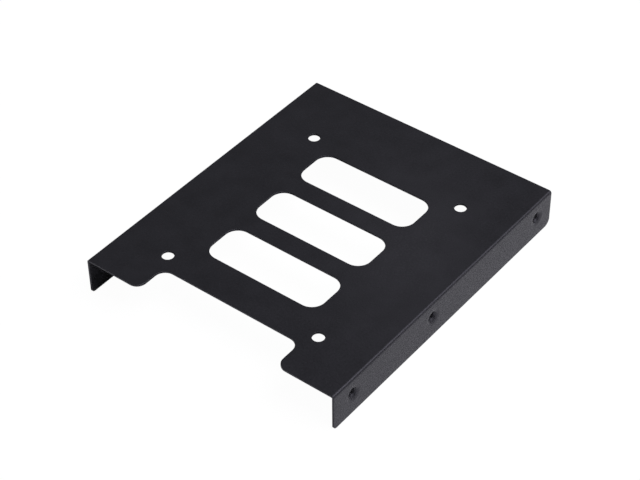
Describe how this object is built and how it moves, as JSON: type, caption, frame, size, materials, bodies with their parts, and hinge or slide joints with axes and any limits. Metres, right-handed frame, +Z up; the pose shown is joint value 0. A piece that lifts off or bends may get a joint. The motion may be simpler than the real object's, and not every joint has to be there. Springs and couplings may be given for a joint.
{
  "type": "drive bay adapter bracket",
  "caption": "Black folded steel bracket that carries a 2.5 inch drive in a 3.5 inch bay: slotted plate, connector notch and two low side flanges with tapped bay screw holes.",
  "frame": {"origin": "middle of the footprint, level with the free edges of the two flanges", "axes": "+X across the bay, +Y along it from the connector notch to the plain end, +Z up to the plate"},
  "size_m": [0.1006, 0.1196, 0.0143],
  "materials": {
    "powder_coated_steel": "matte black powder coat with a fine texture"
  },
  "bodies": {
    "root": {"drive_bay_bracket": "powder_coated_steel"}
  },
  "joints": []
}
